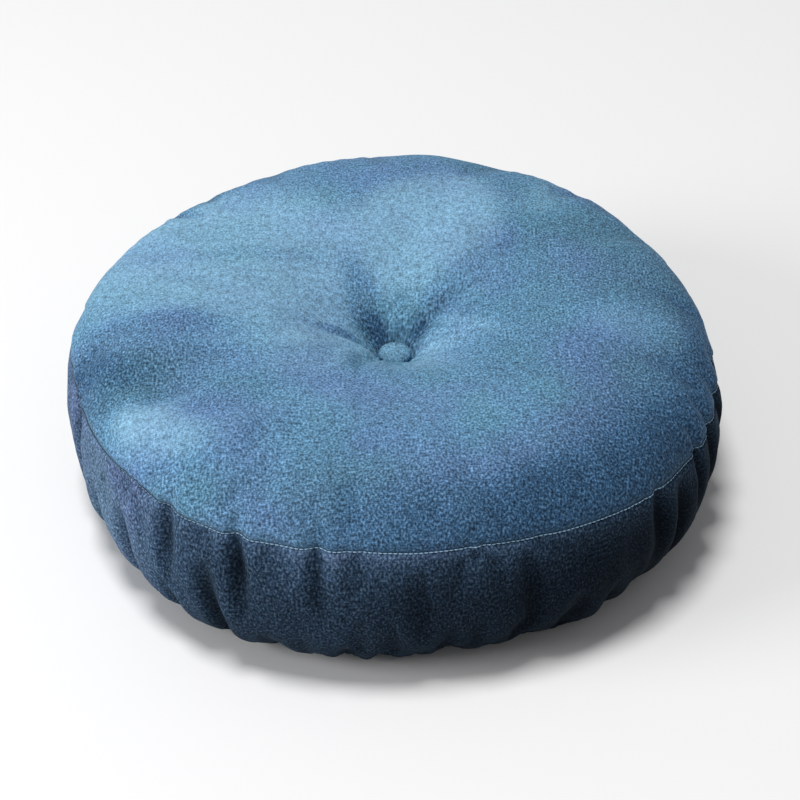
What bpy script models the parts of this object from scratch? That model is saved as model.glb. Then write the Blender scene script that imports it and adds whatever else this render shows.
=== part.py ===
# Round floor cushion: two cloth panels on one filled, boxed body, with a covered button in the middle.
# Angles run counter-clockwise from +X. The side of the cushion that faces the photo's camera is -Y.
import math

import bpy
import numpy as np

# Driving sizes in metres
CUSHION_RADIUS = 0.250
CROWN_HEIGHT = 0.150
TOP_SEAM_RADIUS = 0.2457
TOP_SEAM_HEIGHT = 0.1147
BULGE_HEIGHT = 0.070
RESTING_RADIUS = 0.205
CLOTH_THICKNESS = 0.0022
PIECE_GAP = 0.0006
TUFT_FLOOR_RADIUS = 0.0140
TUFT_COLLAR_DEPTH = 0.004
TUFT_COLLAR_REACH = 0.004
TUFT_FUNNEL_DEPTH = 0.0235
TUFT_FUNNEL_REACH = 0.024
TUFT_BOWL_DEPTH = 0.022
TUFT_BOWL_REACH = 0.082
BUTTON_RADIUS = 0.0128
BUTTON_HEIGHT = 0.0085
BUTTON_EDGE_HEIGHT = 0.0034
BUTTON_BACK_RADIUS = 0.0110

# Shape of the crown's shoulder: higher powers make the top flatter and the shoulder tighter
CROWN_FLATNESS = 6.0
CROWN_SHOULDER = 1.9

# How much of the seam's rise and fall reaches the crown
CROWN_WAVE_SHARE = 0.5

# How far round the lower curve of the band the bottom seam lies, the share of the band's length where the
# side's two curves meet, and that length
BOTTOM_SEAM_TURN = math.radians(68.0)
BULGE_SHARE = 0.38
BAND_LENGTH = 0.118

# Steps around the side, and how much closer they lie on the puckered front than on the back
SIDE_STEPS = 160
FRONT_CROWDING = 0.33
BUTTON_STEPS = 28

# Slow waves that make the outline and the height of the top seam uneven
WAVE_COLUMNS = ("waves", "size_mm", "at_deg")
OUTLINE_WAVES = [
    (2, 2.8, 74),
    (3, 1.7, -33),
    (4, 2.3, -25),
    (5, 1.8, 26),
]
SEAM_HEIGHT_WAVES = [
    (1, 5.2, -169),
    (2, 5.8, 86),
]

# Folds of the top panel, as lines that leave the middle at an angle and turn a little on their way out.
# Each is deepest at peak_mm; a drop above 0 is a valley and a drop below 0 is a ridge.
TOP_FOLD_COLUMNS = ("at_deg", "turn_deg", "start_mm", "peak_mm", "end_mm", "drop_mm", "half_mm")
TOP_FOLDS = [
    (135, 0, 14, 24, 62, 4.0, 15),
    (42, -8, 14, 24, 80, 5.0, 8),
    (230, 24, 14, 30, 96, 3.4, 7),
    (256, 0, 14, 20, 52, -4.0, 17),
    (62, 0, 20, 90, 215, -5.0, 24),
    (8, -2, 22, 60, 135, -2.4, 16),
    (208, 2, 100, 195, 262, 8.0, 34),
    (181, -2, 90, 180, 255, -2.6, 26),
    (232, 0, 120, 200, 255, -2.2, 28),
    (285, 2, 130, 200, 252, 1.8, 13),
    (318, -3, 150, 210, 252, 1.5, 14),
    (155, 0, 180, 222, 252, 2.2, 12),
    (36, -4, 150, 212, 252, 2.0, 14),
]

# Puckers of the side band. start, peak and end are shares of the way from the top seam (0) to the
# bottom seam (1); a start below 0 pulls the top seam in too, and an end above 1 gathers the bottom seam.
PUCKER_COLUMNS = ("top_deg", "foot_deg", "start", "peak", "end", "depth_mm", "half_mm")
BAND_PUCKERS = [
    (-152, -150, -0.10, 0.70, 1.40, 3.0, 11),
    (-141, -139, 0.00, 0.60, 1.40, 4.6, 9),
    (-131, -129, 0.30, 0.85, 1.45, 4.2, 8),
    (-128, -129, -0.15, 0.16, 0.62, 3.4, 8),
    (-121, -119, 0.00, 0.48, 1.40, 4.8, 8),
    (-115, -113, -0.18, 0.14, 0.75, 4.0, 7),
    (-111, -110, 0.45, 0.92, 1.45, 2.8, 9),
    (-102, -101, -0.15, 0.10, 0.45, 3.0, 7),
    (-99, -98, 0.62, 1.00, 1.45, 2.6, 9),
    (-93, -92, 0.72, 1.02, 1.45, 1.8, 8),
    (-82, -80, 0.45, 0.95, 1.45, 1.8, 13),
    (-69, -66, 0.05, 0.60, 1.40, 1.8, 15),
    (-53, -50, 0.35, 0.85, 1.45, 3.6, 9),
    (-43, -43, 0.20, 0.85, 1.50, 4.0, 22),
    (-42, -41, -0.12, 0.26, 0.95, 3.6, 7),
    (-36, -34, -0.06, 0.30, 1.10, 2.8, 8),
    (-29, -28, -0.35, 0.12, 0.80, 3.2, 5),
    (-22, -21, -0.38, 0.14, 1.00, 4.8, 8),
    (-13, -12, -0.32, 0.18, 1.10, 3.8, 8),
    (-4, -4, -0.20, 0.25, 1.30, 2.8, 10),
    (11, 9, 0.10, 0.70, 1.40, 3.4, 13),
    (24, 22, -0.20, 0.25, 1.20, 3.2, 13),
    (41, 40, 0.15, 0.80, 1.45, 3.6, 14),
    (58, 56, -0.25, 0.20, 1.00, 3.4, 14),
    (76, 77, 0.20, 0.85, 1.45, 3.4, 16),
    (97, 95, -0.20, 0.30, 1.20, 2.8, 16),
    (118, 119, 0.10, 0.80, 1.45, 3.4, 16),
    (139, 141, -0.15, 0.30, 1.30, 3.0, 14),
    (158, 157, 0.20, 0.80, 1.45, 3.4, 13),
    (173, 175, -0.15, 0.35, 1.30, 2.8, 12),
    (190, 191, 0.25, 0.85, 1.45, 3.2, 12),
    (199, 198, -0.12, 0.20, 0.80, 2.6, 11),
]

# Rings of the top panel as shares of the seam's radius, and how many of the side's steps make one of theirs
TOP_RING_COLUMNS = ("share", "step")
TOP_RINGS = [
    (0.057, 4),
    (0.071, 4),
    (0.092, 4),
    (0.122, 4),
    (0.165, 2),
    (0.215, 2),
    (0.280, 2),
    (0.380, 2),
    (0.510, 2),
    (0.650, 2),
    (0.790, 2),
    (0.892, 1),
    (0.953, 1),
    (0.988, 1),
    (1.000, 1),
]
BAND_RING_SHARES = (0.0, 0.06, 0.16, 0.28, 0.42, 0.56, 0.70, 0.83, 0.93, 1.0)

# Rings of the bottom panel, from its seam inwards: share of the way round to the flat, then to the middle
BOTTOM_RING_COLUMNS = ("turn_share", "inward_mm", "step")
BOTTOM_RINGS = [
    (0.0, 0.0, 1),
    (0.5, 0.0, 1),
    (1.0, 3.0, 1),
    (1.0, 14.0, 2),
    (1.0, 60.0, 4),
]

# How far the seam's gathers reach into the top panel, and how late its folds give way to the straight seam
GATHER_REACH = 0.020
RIM_STRAIGHTENING = 10

# Rings of the button's dome, as turns from its top down to its edge
BUTTON_DOME_DEGREES = (14, 28, 42, 56, 70, 82, 90)

# Cloth colours, linear, as the photo shows them: the panel catches the light and the side stays dark
PANEL_COLOUR = (0.105, 0.225, 0.335)
BAND_COLOUR = (0.060, 0.120, 0.195)
BUTTON_COLOUR = (0.115, 0.240, 0.350)
PLUSH_ROUGHNESS = 0.92


def rows(columns, table):
    return [dict(zip(columns, row)) for row in table]


def side_angles():
    # Angles of the steps around the side: theta - crowding * cos(theta), closest together at the front
    theta = np.arange(SIDE_STEPS) * (2.0 * math.pi / SIDE_STEPS)
    return theta - FRONT_CROWDING * np.cos(theta)


def wave_sum(table, angles):
    total = np.zeros_like(angles)
    for wave in rows(WAVE_COLUMNS, table):
        total += 0.001 * wave["size_mm"] * np.cos(wave["waves"] * (angles - math.radians(wave["at_deg"])))
    return total


def outline_scale(angles):
    return 1.0 + wave_sum(OUTLINE_WAVES, angles) / CUSHION_RADIUS


def smooth_rise(share):
    # 0 below 0, 1 above 1, and an even S between
    held = np.clip(share, 0.0, 1.0)
    return held * held * (3.0 - 2.0 * held)


def hump(place, start, peak, end):
    # Rises smoothly from start to peak and falls smoothly to end
    return smooth_rise((place - start) / (peak - start)) * (1.0 - smooth_rise((place - peak) / (end - peak)))


def wrinkle(across, half_width):
    # Section of a fold in cloth: 1 in the middle, 0 at half_width, and a low lip of the other sign beyond
    ratio = (across / half_width) ** 2
    return (1.0 - ratio) * np.exp(-ratio / 2.0)


def top_fold_drop(radius, angles):
    # How far the folds lower the top panel, in metres
    total = np.zeros_like(angles)
    for fold in rows(TOP_FOLD_COLUMNS, TOP_FOLDS):
        way_out = (radius - 0.001 * fold["start_mm"]) / (0.001 * (fold["end_mm"] - fold["start_mm"]))
        line = math.radians(fold["at_deg"]) + math.radians(fold["turn_deg"]) * np.clip(way_out, 0.0, 1.0)
        across = radius * np.sin(angles - line)
        outward = np.cos(angles - line) > 0.0
        along = hump(1000.0 * radius, fold["start_mm"], fold["peak_mm"], fold["end_mm"])
        section = wrinkle(across, 0.001 * fold["half_mm"])
        total += np.where(outward, 0.001 * fold["drop_mm"] * along * section, 0.0)
    return total


def pucker_depth(angles, share):
    # How far the puckers pull the band in, in metres, at a share of the way from top seam to bottom seam
    total = np.zeros_like(angles)
    for pucker in rows(PUCKER_COLUMNS, BAND_PUCKERS):
        lean = pucker["foot_deg"] - pucker["top_deg"]
        line = math.radians(pucker["top_deg"] + lean * share)
        turn = (angles - line + math.pi) % (2.0 * math.pi) - math.pi
        along = hump(share, pucker["start"], pucker["peak"], pucker["end"])
        section = wrinkle(CUSHION_RADIUS * turn, 0.001 * pucker["half_mm"])
        total += 0.001 * pucker["depth_mm"] * along * section
    return total


def tuft_dip(radius):
    # Depth of the dimple that the button pulls: a steep funnel in a wide shallow bowl, flat under the button,
    # with a collar where the cloth turns up against the button's edge
    beyond = np.maximum(radius, TUFT_FLOOR_RADIUS)
    past = beyond - TUFT_FLOOR_RADIUS
    collar = TUFT_COLLAR_DEPTH * np.exp(-past / TUFT_COLLAR_REACH)
    funnel = TUFT_FUNNEL_DEPTH * np.exp(-past / TUFT_FUNNEL_REACH)
    bowl = TUFT_BOWL_DEPTH * np.exp(-(beyond / TUFT_BOWL_REACH) ** 2)
    return collar + funnel + bowl


def seam_height(angles):
    return TOP_SEAM_HEIGHT + wave_sum(SEAM_HEIGHT_WAVES, angles)


def crown_normal(share):
    # Unit normal (outward, up) of the crown's section, a superellipse over the seam
    rise = CROWN_HEIGHT - TOP_SEAM_HEIGHT
    height_share = (1.0 - share ** CROWN_FLATNESS) ** (1.0 / CROWN_SHOULDER)
    outward = CROWN_FLATNESS * share ** (CROWN_FLATNESS - 1.0) / TOP_SEAM_RADIUS
    upward = CROWN_SHOULDER * height_share ** (CROWN_SHOULDER - 1.0) / rise
    length = math.hypot(outward, upward)
    return outward / length, upward / length


def top_point_ring(share, step, inset):
    # One ring of the top panel, moved inwards by inset along the section's normal
    angles = side_angles()[::step]
    seam = seam_height(angles)
    crown = CROWN_HEIGHT + CROWN_WAVE_SHARE * share * (seam - TOP_SEAM_HEIGHT)
    radius = share * TOP_SEAM_RADIUS
    height_share = (1.0 - share ** CROWN_FLATNESS) ** (1.0 / CROWN_SHOULDER)
    free_of_seam = 1.0 - share ** RIM_STRAIGHTENING
    height = seam + (crown - seam) * height_share
    height -= free_of_seam * (tuft_dip(radius) + top_fold_drop(radius, angles))
    seam_pull = pucker_depth(angles, 0.0) * smooth_rise(1.0 - (TOP_SEAM_RADIUS - radius) / GATHER_REACH)
    outward, upward = crown_normal(share)
    reach = radius * outline_scale(angles) - seam_pull - inset * outward
    return np.stack([reach * np.cos(angles), reach * np.sin(angles), height - inset * upward], axis=1)


def band_section(share):
    # Radius, height and pull direction (outward, up) of the band, with the height still free of seam waves.
    # Above the bulge it is a parabola that puckers pull straight in; below it the curve of the base goes on.
    if share > BULGE_SHARE:
        return base_section(BOTTOM_SEAM_TURN * (share - BULGE_SHARE) / (1.0 - BULGE_SHARE))
    drop = share / BULGE_SHARE
    height = TOP_SEAM_HEIGHT + (BULGE_HEIGHT - TOP_SEAM_HEIGHT) * drop
    radius = TOP_SEAM_RADIUS + (CUSHION_RADIUS - TOP_SEAM_RADIUS) * (1.0 - (1.0 - drop) ** 2)
    return radius, height, 1.0, 0.0


def base_section(turn):
    # Lower curve of the side, a quarter of an ellipse from the widest ring to the flat base
    width = CUSHION_RADIUS - RESTING_RADIUS
    radius = RESTING_RADIUS + width * math.cos(turn)
    height = BULGE_HEIGHT * (1.0 - math.sin(turn))
    outward = math.cos(turn) / width
    upward = -math.sin(turn) / BULGE_HEIGHT
    length = math.hypot(outward, upward)
    return radius, height, outward / length, upward / length


def side_ring(section, share, inset, step=1, gather=1.0):
    # One ring of the side or of the base's rim: its section, less the puckers, moved inwards by inset
    angles = side_angles()[::step]
    radius, height, outward, upward = section
    seam_share = smooth_rise(1.0 - share / BULGE_SHARE)
    pull = gather * pucker_depth(angles, share) + inset
    reach = radius * outline_scale(angles) - pull * outward
    level = height + seam_share * wave_sum(SEAM_HEIGHT_WAVES, angles) - pull * upward
    resting_level = inset * abs(upward)
    level = np.maximum(level, resting_level)
    return np.stack([reach * np.cos(angles), reach * np.sin(angles), level], axis=1)


def middle_point(ring):
    # A single point in the middle of a flat inner ring
    return np.array([[0.0, 0.0, ring[:, 2].mean()]])


def top_surface(inset):
    # Rings of the top panel from its middle out to the seam
    rings = [top_point_ring(row["share"], row["step"], inset) for row in rows(TOP_RING_COLUMNS, TOP_RINGS)]
    return [middle_point(rings[0])] + rings


def bottom_surface(inset):
    # Rings of the bottom panel from its seam in to the middle
    rings = []
    for row in rows(BOTTOM_RING_COLUMNS, BOTTOM_RINGS):
        turn = BOTTOM_SEAM_TURN + (math.pi / 2.0 - BOTTOM_SEAM_TURN) * row["turn_share"]
        radius, height, outward, upward = base_section(turn)
        section = (radius - 0.001 * row["inward_mm"], height, outward, upward)
        gather = 1.0 - row["turn_share"]
        rings.append(side_ring(section, 1.0, inset, row["step"], gather))
    return rings + [middle_point(rings[-1])]


def ring_triangles(upper, lower, upper_count, lower_count, outward):
    # Triangles between two rings that start at points upper and lower, for counts that match, halve or double.
    # Diagonals run the same way whether the rings are listed outward or inward, so that sheets nest.
    faces = []
    if upper_count == 1:
        for i in range(lower_count):
            faces.append((upper, lower + i, lower + (i + 1) % lower_count))
    elif lower_count == 1:
        for i in range(upper_count):
            faces.append((upper + i, lower, upper + (i + 1) % upper_count))
    elif upper_count == lower_count:
        for i in range(upper_count):
            j = (i + 1) % upper_count
            if outward:
                faces.append((upper + i, lower + i, lower + j))
                faces.append((upper + i, lower + j, upper + j))
            else:
                faces.append((upper + i, lower + i, upper + j))
                faces.append((lower + i, lower + j, upper + j))
    elif lower_count == 2 * upper_count:
        for i in range(upper_count):
            j = (i + 1) % upper_count
            near, middle, far = lower + 2 * i, lower + 2 * i + 1, lower + (2 * i + 2) % lower_count
            faces.append((upper + i, near, middle))
            faces.append((upper + i, middle, upper + j))
            faces.append((upper + j, middle, far))
    else:
        for i in range(lower_count):
            j = (i + 1) % lower_count
            near, middle, far = upper + 2 * i, upper + 2 * i + 1, upper + (2 * i + 2) % upper_count
            faces.append((near, lower + i, middle))
            faces.append((middle, lower + i, lower + j))
            faces.append((middle, lower + j, far))
    return faces


def ring_solid(name, rings, material):
    # One closed body from rings that run from a middle point on top, out and down, to one underneath
    points = np.concatenate(rings)
    spreads = [np.ptp(ring, axis=0).sum() for ring in rings]
    faces = []
    start = 0
    for k in range(len(rings) - 1):
        count = len(rings[k])
        outward = spreads[k + 1] > spreads[k]
        faces += ring_triangles(start, start + count, count, len(rings[k + 1]), outward)
        start += count
    mesh = bpy.data.meshes.new(name)
    mesh.from_pydata(points.tolist(), [], faces)
    mesh.materials.append(material)
    mesh.shade_smooth()
    solid = bpy.data.objects.new(name, mesh)
    bpy.context.collection.objects.link(solid)
    return solid


def button_rings(floor_height):
    # Covered button as a turned piece: domed front, round edge and a flat back, on the tuft's floor
    dome_rise = BUTTON_HEIGHT - BUTTON_EDGE_HEIGHT
    sections = []
    for degrees in BUTTON_DOME_DEGREES:
        turn = math.radians(degrees)
        sections.append((BUTTON_RADIUS * math.sin(turn), BUTTON_EDGE_HEIGHT + dome_rise * math.cos(turn)))
    sections.append(((BUTTON_RADIUS * 2.0 + BUTTON_BACK_RADIUS) / 3.0, BUTTON_EDGE_HEIGHT / 2.0))
    sections.append((BUTTON_BACK_RADIUS, 0.0))
    angles = np.arange(BUTTON_STEPS) * (2.0 * math.pi / BUTTON_STEPS)
    rings = [np.array([[0.0, 0.0, floor_height + BUTTON_HEIGHT]])]
    for radius, height in sections:
        level = np.full(BUTTON_STEPS, floor_height + height)
        rings.append(np.stack([radius * np.cos(angles), radius * np.sin(angles), level], axis=1))
    rings.append(np.array([[0.0, 0.0, floor_height]]))
    return rings


def cloth_material(name, colour):
    material = bpy.data.materials.new(name)
    material.use_nodes = True
    shader = material.node_tree.nodes["Principled BSDF"]
    shader.inputs["Base Color"].default_value = (*colour, 1.0)
    shader.inputs["Roughness"].default_value = PLUSH_ROUGHNESS
    shader.inputs["Metallic"].default_value = 0.0
    return material


def outline_middle(rings):
    # Middle of the box around all the rings, seen from above
    points = np.concatenate(rings)
    return (points[:, :2].max(axis=0) + points[:, :2].min(axis=0)) / 2.0


def clear_scene():
    for item in list(bpy.data.objects):
        bpy.data.objects.remove(item, do_unlink=True)


def build_cushion():
    under_sheet = CLOTH_THICKNESS + PIECE_GAP
    gap_share = PIECE_GAP / BAND_LENGTH

    top_outside = top_surface(0.0)
    top_inside = top_surface(CLOTH_THICKNESS)
    stuffing_top = top_surface(under_sheet)
    stuffing_top[-1] -= np.array([0.0, 0.0, PIECE_GAP])

    band_shares = np.clip(BAND_RING_SHARES, gap_share, 1.0 - gap_share)
    band = [side_ring(band_section(share), share, 0.0) for share in band_shares]

    bottom_outside = bottom_surface(0.0)
    bottom_inside = bottom_surface(CLOTH_THICKNESS)
    stuffing_base = bottom_surface(under_sheet)
    stuffing_base[0] = side_ring(band_section(band_shares[-1]), band_shares[-1], under_sheet)

    tuft_floor = float(top_outside[1][:, 2].max()) + PIECE_GAP

    pieces = [
        ("top_panel", top_outside + top_inside[::-1], PANEL_COLOUR),
        ("side_band", stuffing_top + band + stuffing_base, BAND_COLOUR),
        ("bottom_panel", bottom_inside[::-1] + bottom_outside, BAND_COLOUR),
        ("tuft_button", button_rings(tuft_floor), BUTTON_COLOUR),
    ]
    middle = outline_middle(band)
    for name, rings, colour in pieces:
        placed = [ring - np.array([middle[0], middle[1], 0.0]) for ring in rings]
        ring_solid(name, placed, cloth_material(name + "_cloth", colour))


clear_scene()
build_cushion()
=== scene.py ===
import math

import bpy
import numpy as np
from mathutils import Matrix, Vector


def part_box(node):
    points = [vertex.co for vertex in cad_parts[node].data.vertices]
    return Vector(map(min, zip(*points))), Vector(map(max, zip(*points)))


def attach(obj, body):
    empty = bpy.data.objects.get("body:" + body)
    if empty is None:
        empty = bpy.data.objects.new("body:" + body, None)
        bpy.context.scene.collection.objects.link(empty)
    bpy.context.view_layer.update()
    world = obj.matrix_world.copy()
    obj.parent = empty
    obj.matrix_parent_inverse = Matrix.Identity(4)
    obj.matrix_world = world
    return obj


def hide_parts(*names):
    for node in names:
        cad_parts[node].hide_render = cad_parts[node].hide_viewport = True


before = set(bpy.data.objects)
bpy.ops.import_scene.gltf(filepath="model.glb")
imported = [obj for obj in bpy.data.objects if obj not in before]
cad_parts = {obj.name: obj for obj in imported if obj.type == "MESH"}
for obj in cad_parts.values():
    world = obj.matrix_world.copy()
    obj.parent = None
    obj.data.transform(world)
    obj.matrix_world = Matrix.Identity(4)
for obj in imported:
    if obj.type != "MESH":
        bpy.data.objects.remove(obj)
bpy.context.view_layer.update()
print("frame loaded, nodes:", ", ".join(sorted(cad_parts)))

# Sizes that all the cloth pieces share, as in the part. underSteps are the rings of the flat underside, by
# their distance in from restingRadius.
cushion = {
    "radius": 0.250,
    "crownHeight": 0.150,
    "seamRadius": 0.2457,
    "seamHeight": 0.1147,
    "bulgeHeight": 0.070,
    "restingRadius": 0.205,
    "clothThickness": 0.0022,
    "gap": 0.0006,
    "crownFlatness": 6.0,
    "crownShoulder": 1.9,
    "crownWaveShare": 0.5,
    "bottomSeamTurn": math.radians(68.0),
    "bulgeShare": 0.38,
    "bandLength": 0.118,
    "underSteps": (0.0, 0.003, 0.008, 0.016, 0.030, 0.060, 0.100, 0.150, 0.195),
    "frontCrowding": 0.33,
    "columns": 600,
    "crownSteps": 2000,
}

# Dimple that the button pulls: a steep funnel in a wide shallow bowl, flat under the button, with a collar
# where the cloth turns up against the button's edge. The cloth's ripples fade in over rippleReach.
tuft = {
    "floorRadius": 0.0140,
    "collarDepth": 0.004,
    "collarReach": 0.004,
    "funnelDepth": 0.0235,
    "funnelReach": 0.024,
    "bowlDepth": 0.022,
    "bowlReach": 0.082,
    "rippleReach": 0.02,
}

# Sunk line where two cloths are sewn together, how far its gathers reach into the top panel, and over which
# share of the side the panel's ripples give way to the band's
seam = {
    "grooveDepth": 0.0017,
    "grooveHalf": 0.0020,
    "gatherReach": 0.020,
    "rimStraightening": 10,
    "rippleBlend": 0.25,
}

# Waves round the cushion that make its outline and the height of its top seam uneven, as in the part
waveColumns = ("waves", "sizeMm", "atDeg")
outlineWaves = [
    (2, 2.8, 74),
    (3, 1.7, -33),
    (4, 2.3, -25),
    (5, 1.8, 26),
]
seamHeightWaves = [
    (1, 5.2, -169),
    (2, 5.8, 86),
]

# Folds of the top panel leave the middle at an angle and turn a little on their way out. Each is deepest at
# peakMm; a drop above 0 is a valley and one below 0 a ridge. topFolds are the part's own, and fineFolds are
# small creases round the button that are added here.
foldColumns = ("atDeg", "turnDeg", "startMm", "peakMm", "endMm", "dropMm", "halfMm")
topFolds = [
    (135, 0, 14, 24, 62, 4.0, 15),
    (42, -8, 14, 24, 80, 5.0, 8),
    (230, 24, 14, 30, 96, 3.4, 7),
    (256, 0, 14, 20, 52, -4.0, 17),
    (62, 0, 20, 90, 215, -5.0, 24),
    (8, -2, 22, 60, 135, -2.4, 16),
    (208, 2, 100, 195, 262, 8.0, 34),
    (181, -2, 90, 180, 255, -2.6, 26),
    (232, 0, 120, 200, 255, -2.2, 28),
    (285, 2, 130, 200, 252, 1.8, 13),
    (318, -3, 150, 210, 252, 1.5, 14),
    (155, 0, 180, 222, 252, 2.2, 12),
    (36, -4, 150, 212, 252, 2.0, 14),
]
fineFolds = [
    (184, -4, 13, 26, 84, 2.6, 4.0),
    (266, 0, 13, 23, 66, 2.6, 17.0),
    (216, 2, 13, 26, 68, -1.5, 4.5),
    (110, 5, 14, 20, 46, 1.2, 3.4),
    (158, -6, 14, 19, 40, 1.0, 3.0),
    (200, 3, 14, 21, 50, 0.9, 3.0),
    (258, 6, 14, 19, 40, 0.7, 3.0),
    (300, 8, 14, 20, 46, 0.8, 3.4),
    (326, -5, 14, 19, 40, 0.8, 3.0),
    (352, 7, 14, 21, 60, 1.2, 3.6),
    (16, -4, 14, 20, 52, 0.9, 3.2),
    (24, 2, 26, 62, 112, 1.2, 3.4),
    (14, 3, 30, 56, 98, 1.1, 3.0),
    (6, -2, 30, 50, 86, 0.8, 3.0),
    (80, 4, 14, 20, 50, 1.0, 3.6),
]

# Puckers of the side band, as in the part. start, peak and end are shares of the way from seam to seam.
puckerColumns = ("topDeg", "footDeg", "start", "peak", "end", "depthMm", "halfMm")
bandPuckers = [
    (-152, -150, -0.10, 0.70, 1.40, 3.0, 11),
    (-141, -139, 0.00, 0.60, 1.40, 4.6, 9),
    (-131, -129, 0.30, 0.85, 1.45, 4.2, 8),
    (-128, -129, -0.15, 0.16, 0.62, 3.4, 8),
    (-121, -119, 0.00, 0.48, 1.40, 4.8, 8),
    (-115, -113, -0.18, 0.14, 0.75, 4.0, 7),
    (-111, -110, 0.45, 0.92, 1.45, 2.8, 9),
    (-102, -101, -0.15, 0.10, 0.45, 3.0, 7),
    (-99, -98, 0.62, 1.00, 1.45, 2.6, 9),
    (-93, -92, 0.72, 1.02, 1.45, 1.8, 8),
    (-82, -80, 0.45, 0.95, 1.45, 1.8, 13),
    (-69, -66, 0.05, 0.60, 1.40, 1.8, 15),
    (-53, -50, 0.35, 0.85, 1.45, 3.6, 9),
    (-43, -43, 0.20, 0.85, 1.50, 4.0, 22),
    (-42, -41, -0.12, 0.26, 0.95, 3.6, 7),
    (-36, -34, -0.06, 0.30, 1.10, 2.8, 8),
    (-29, -28, -0.35, 0.12, 0.80, 3.2, 5),
    (-22, -21, -0.38, 0.14, 1.00, 4.8, 8),
    (-13, -12, -0.32, 0.18, 1.10, 3.8, 8),
    (-4, -4, -0.20, 0.25, 1.30, 2.8, 10),
    (11, 9, 0.10, 0.70, 1.40, 3.4, 13),
    (24, 22, -0.20, 0.25, 1.20, 3.2, 13),
    (41, 40, 0.15, 0.80, 1.45, 3.6, 14),
    (58, 56, -0.25, 0.20, 1.00, 3.4, 14),
    (76, 77, 0.20, 0.85, 1.45, 3.4, 16),
    (97, 95, -0.20, 0.30, 1.20, 2.8, 16),
    (118, 119, 0.10, 0.80, 1.45, 3.4, 16),
    (139, 141, -0.15, 0.30, 1.30, 3.0, 14),
    (158, 157, 0.20, 0.80, 1.45, 3.4, 13),
    (173, 175, -0.15, 0.35, 1.30, 2.8, 12),
    (190, 191, 0.25, 0.85, 1.45, 3.2, 12),
    (199, 198, -0.12, 0.20, 0.80, 2.6, 11),
]

# Lumps of the filling and ripples of the cloth, each a sum of rippleWaves sine waves in random directions
rippleWaves = 18
rippleColumns = ("lengthMm", "sizeMm", "stretch", "seed")
topRipples = [
    (70, 0.55, 1.0, 11),
    (26, 0.16, 1.0, 12),
]
bandRipples = [
    (48, 0.45, 2.2, 21),
    (19, 0.28, 3.0, 22),
]


def rows(columns, table):
    return [dict(zip(columns, row)) for row in table]


def evenAngles(count):
    return np.arange(count) * (2.0 * math.pi / count)


def sideAngles(columns):
    # theta - crowding * cos(theta): closest together at the front
    theta = evenAngles(columns)
    return theta - cushion["frontCrowding"] * np.cos(theta)


def waveSum(table, angle):
    # Sum of size * cos(waves * (angle - at))
    waves = rows(waveColumns, table)
    return sum(0.001 * w["sizeMm"] * np.cos(w["waves"] * (angle - math.radians(w["atDeg"]))) for w in waves)


def outlineScale(angle):
    return 1.0 + waveSum(outlineWaves, angle) / cushion["radius"]


def smoothRise(share):
    # 3 s^2 - 2 s^3 of the share held between 0 and 1
    held = np.clip(share, 0.0, 1.0)
    return held * held * (3.0 - 2.0 * held)


def hump(place, start, peak, end):
    # A smooth rise from start to peak, times a smooth fall from peak to end
    return smoothRise((place - start) / (peak - start)) * (1.0 - smoothRise((place - peak) / (end - peak)))


def wrinkle(across, half):
    # Section of a fold: (1 - x^2) exp(-x^2 / 2) with x = across / half, a valley between two low lips
    square = (across / half) ** 2
    return (1.0 - square) * np.exp(-square / 2.0)


def foldDrop(table, radius, angle):
    # Sum of drop * hump(radius) * wrinkle(distance from the fold's turning line)
    total = 0.0
    for fold in rows(foldColumns, table):
        wayOut = (radius - 0.001 * fold["startMm"]) / (0.001 * (fold["endMm"] - fold["startMm"]))
        line = math.radians(fold["atDeg"]) + math.radians(fold["turnDeg"]) * np.clip(wayOut, 0.0, 1.0)
        across = radius * np.sin(angle - line)
        outward = np.cos(angle - line) > 0.0
        along = hump(1000.0 * radius, fold["startMm"], fold["peakMm"], fold["endMm"])
        total = total + 0.001 * fold["dropMm"] * along * outward * wrinkle(across, 0.001 * fold["halfMm"])
    return total


def puckerDepth(angle, share):
    # Sum of depth * hump(share) * wrinkle(distance round the side from the pucker's leaning line)
    total = 0.0
    for pucker in rows(puckerColumns, bandPuckers):
        lean = pucker["footDeg"] - pucker["topDeg"]
        line = np.radians(pucker["topDeg"] + lean * share)
        turn = (angle - line + math.pi) % (2.0 * math.pi) - math.pi
        along = hump(share, pucker["start"], pucker["peak"], pucker["end"])
        section = wrinkle(cushion["radius"] * turn, 0.001 * pucker["halfMm"])
        total = total + 0.001 * pucker["depthMm"] * along * section
    return total


def tuftDip(radius):
    # Sum of depth * exp(-(r - floor) / reach) for collar and funnel, and bowlDepth * exp(-(r / reach)^2).
    # All are level inside floor.
    beyond = np.maximum(radius, tuft["floorRadius"])
    past = beyond - tuft["floorRadius"]
    collar = tuft["collarDepth"] * np.exp(-past / tuft["collarReach"])
    funnel = tuft["funnelDepth"] * np.exp(-past / tuft["funnelReach"])
    return collar + funnel + tuft["bowlDepth"] * np.exp(-(beyond / tuft["bowlReach"]) ** 2)


def ripples(table, points):
    # Sum of many sine waves of one length in random directions; stretch lengthens them up and down
    total = 0.0
    for ripple in rows(rippleColumns, table):
        random = np.random.default_rng(ripple["seed"])
        ways = random.normal(size=(rippleWaves, 3))
        ways /= np.linalg.norm(ways, axis=1, keepdims=True)
        ways *= 2.0 * math.pi / (0.001 * ripple["lengthMm"])
        ways[:, 2] /= ripple["stretch"]
        phases = random.uniform(0.0, 2.0 * math.pi, rippleWaves)
        waves = np.cos(points @ ways.T + phases).sum(axis=-1)
        total = total + 0.001 * ripple["sizeMm"] * waves * math.sqrt(2.0 / rippleWaves)
    return total


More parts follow.
